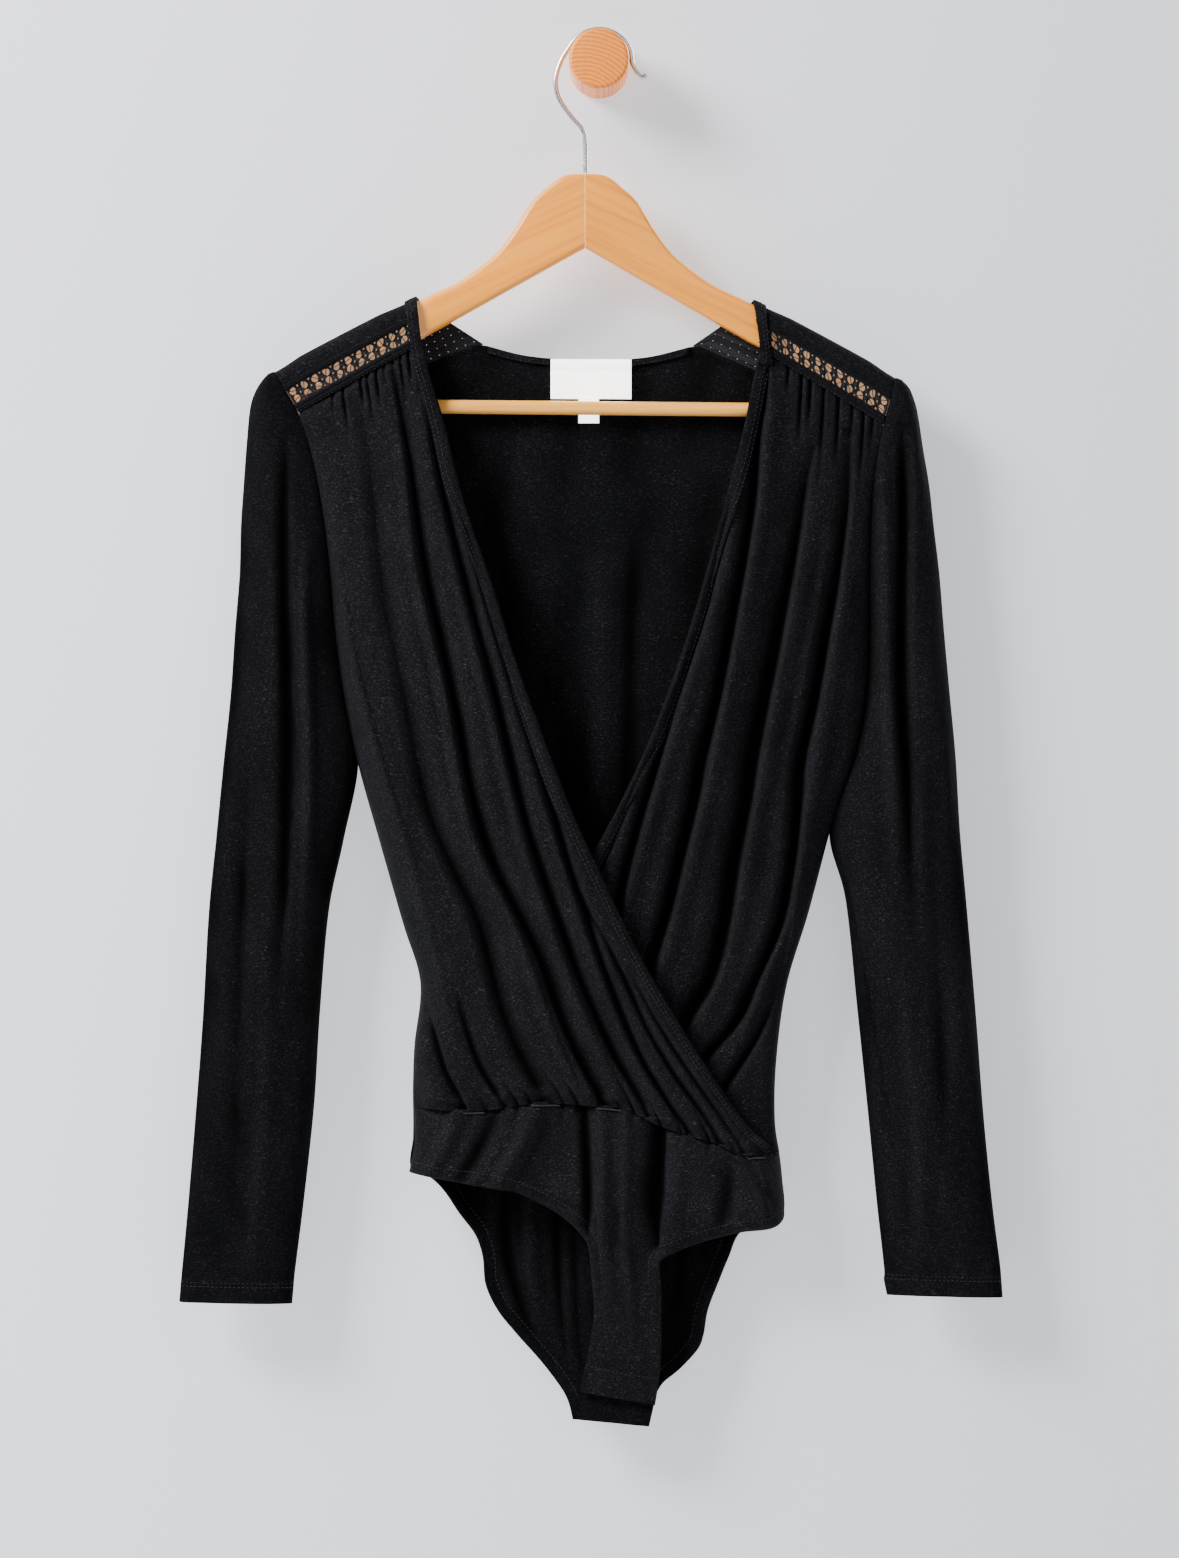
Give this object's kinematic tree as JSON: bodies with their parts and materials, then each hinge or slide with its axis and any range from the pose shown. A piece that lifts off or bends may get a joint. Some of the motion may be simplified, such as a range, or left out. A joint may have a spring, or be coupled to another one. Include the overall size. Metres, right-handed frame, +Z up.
{
  "type": "wrap bodysuit on a wooden hanger on a wall peg",
  "caption": "Long-sleeved black wrap bodysuit with lace shoulder insets, hung flat on a wooden hanger from a round wooden wall peg.",
  "frame": {"origin": "middle of the peg's flat face that meets the wall", "axes": "+Y out of the peg's wall face into the wall, +Z up, +X to the right of someone facing the garment's front"},
  "size_m": [0.5602, 0.0611, 0.9522],
  "materials": {
    "jersey": "soft near-black viscose jersey with a faint sheen",
    "lace": "black cotton crochet lace",
    "beech": "clear satin lacquer on pale beech",
    "peg_wood": "oiled oak, end grain to the front",
    "steel": "bright zinc-plated wire and snaps",
    "label_tape": "off-white woven tape, bare"
  },
  "bodies": {
    "root": {"wall_peg": "peg_wood", "hanger_hook": "steel", "hanger_rod": "beech", "hanger_arm_right": "beech", "hanger_arm_left": "beech", "front_right": "jersey", "front_left": "jersey", "front_band_right": "jersey", "front_band_left": "jersey", "back": "jersey", "back_neck_band": "jersey", "sleeve_right": "jersey", "sleeve_left": "jersey", "yoke_right": "jersey", "yoke_left": "jersey", "tape_upper_right": "jersey", "tape_upper_left": "jersey", "tape_lower_right": "jersey", "tape_lower_left": "jersey", "lace_right": "lace", "lace_left": "lace", "back_lace_right": "lace", "back_lace_left": "lace", "brief_front": "jersey", "brief_back": "jersey", "label": "label_tape", "size_tab": "label_tape", "snap_right": "steel", "snap_left": "steel"}
  },
  "joints": []
}
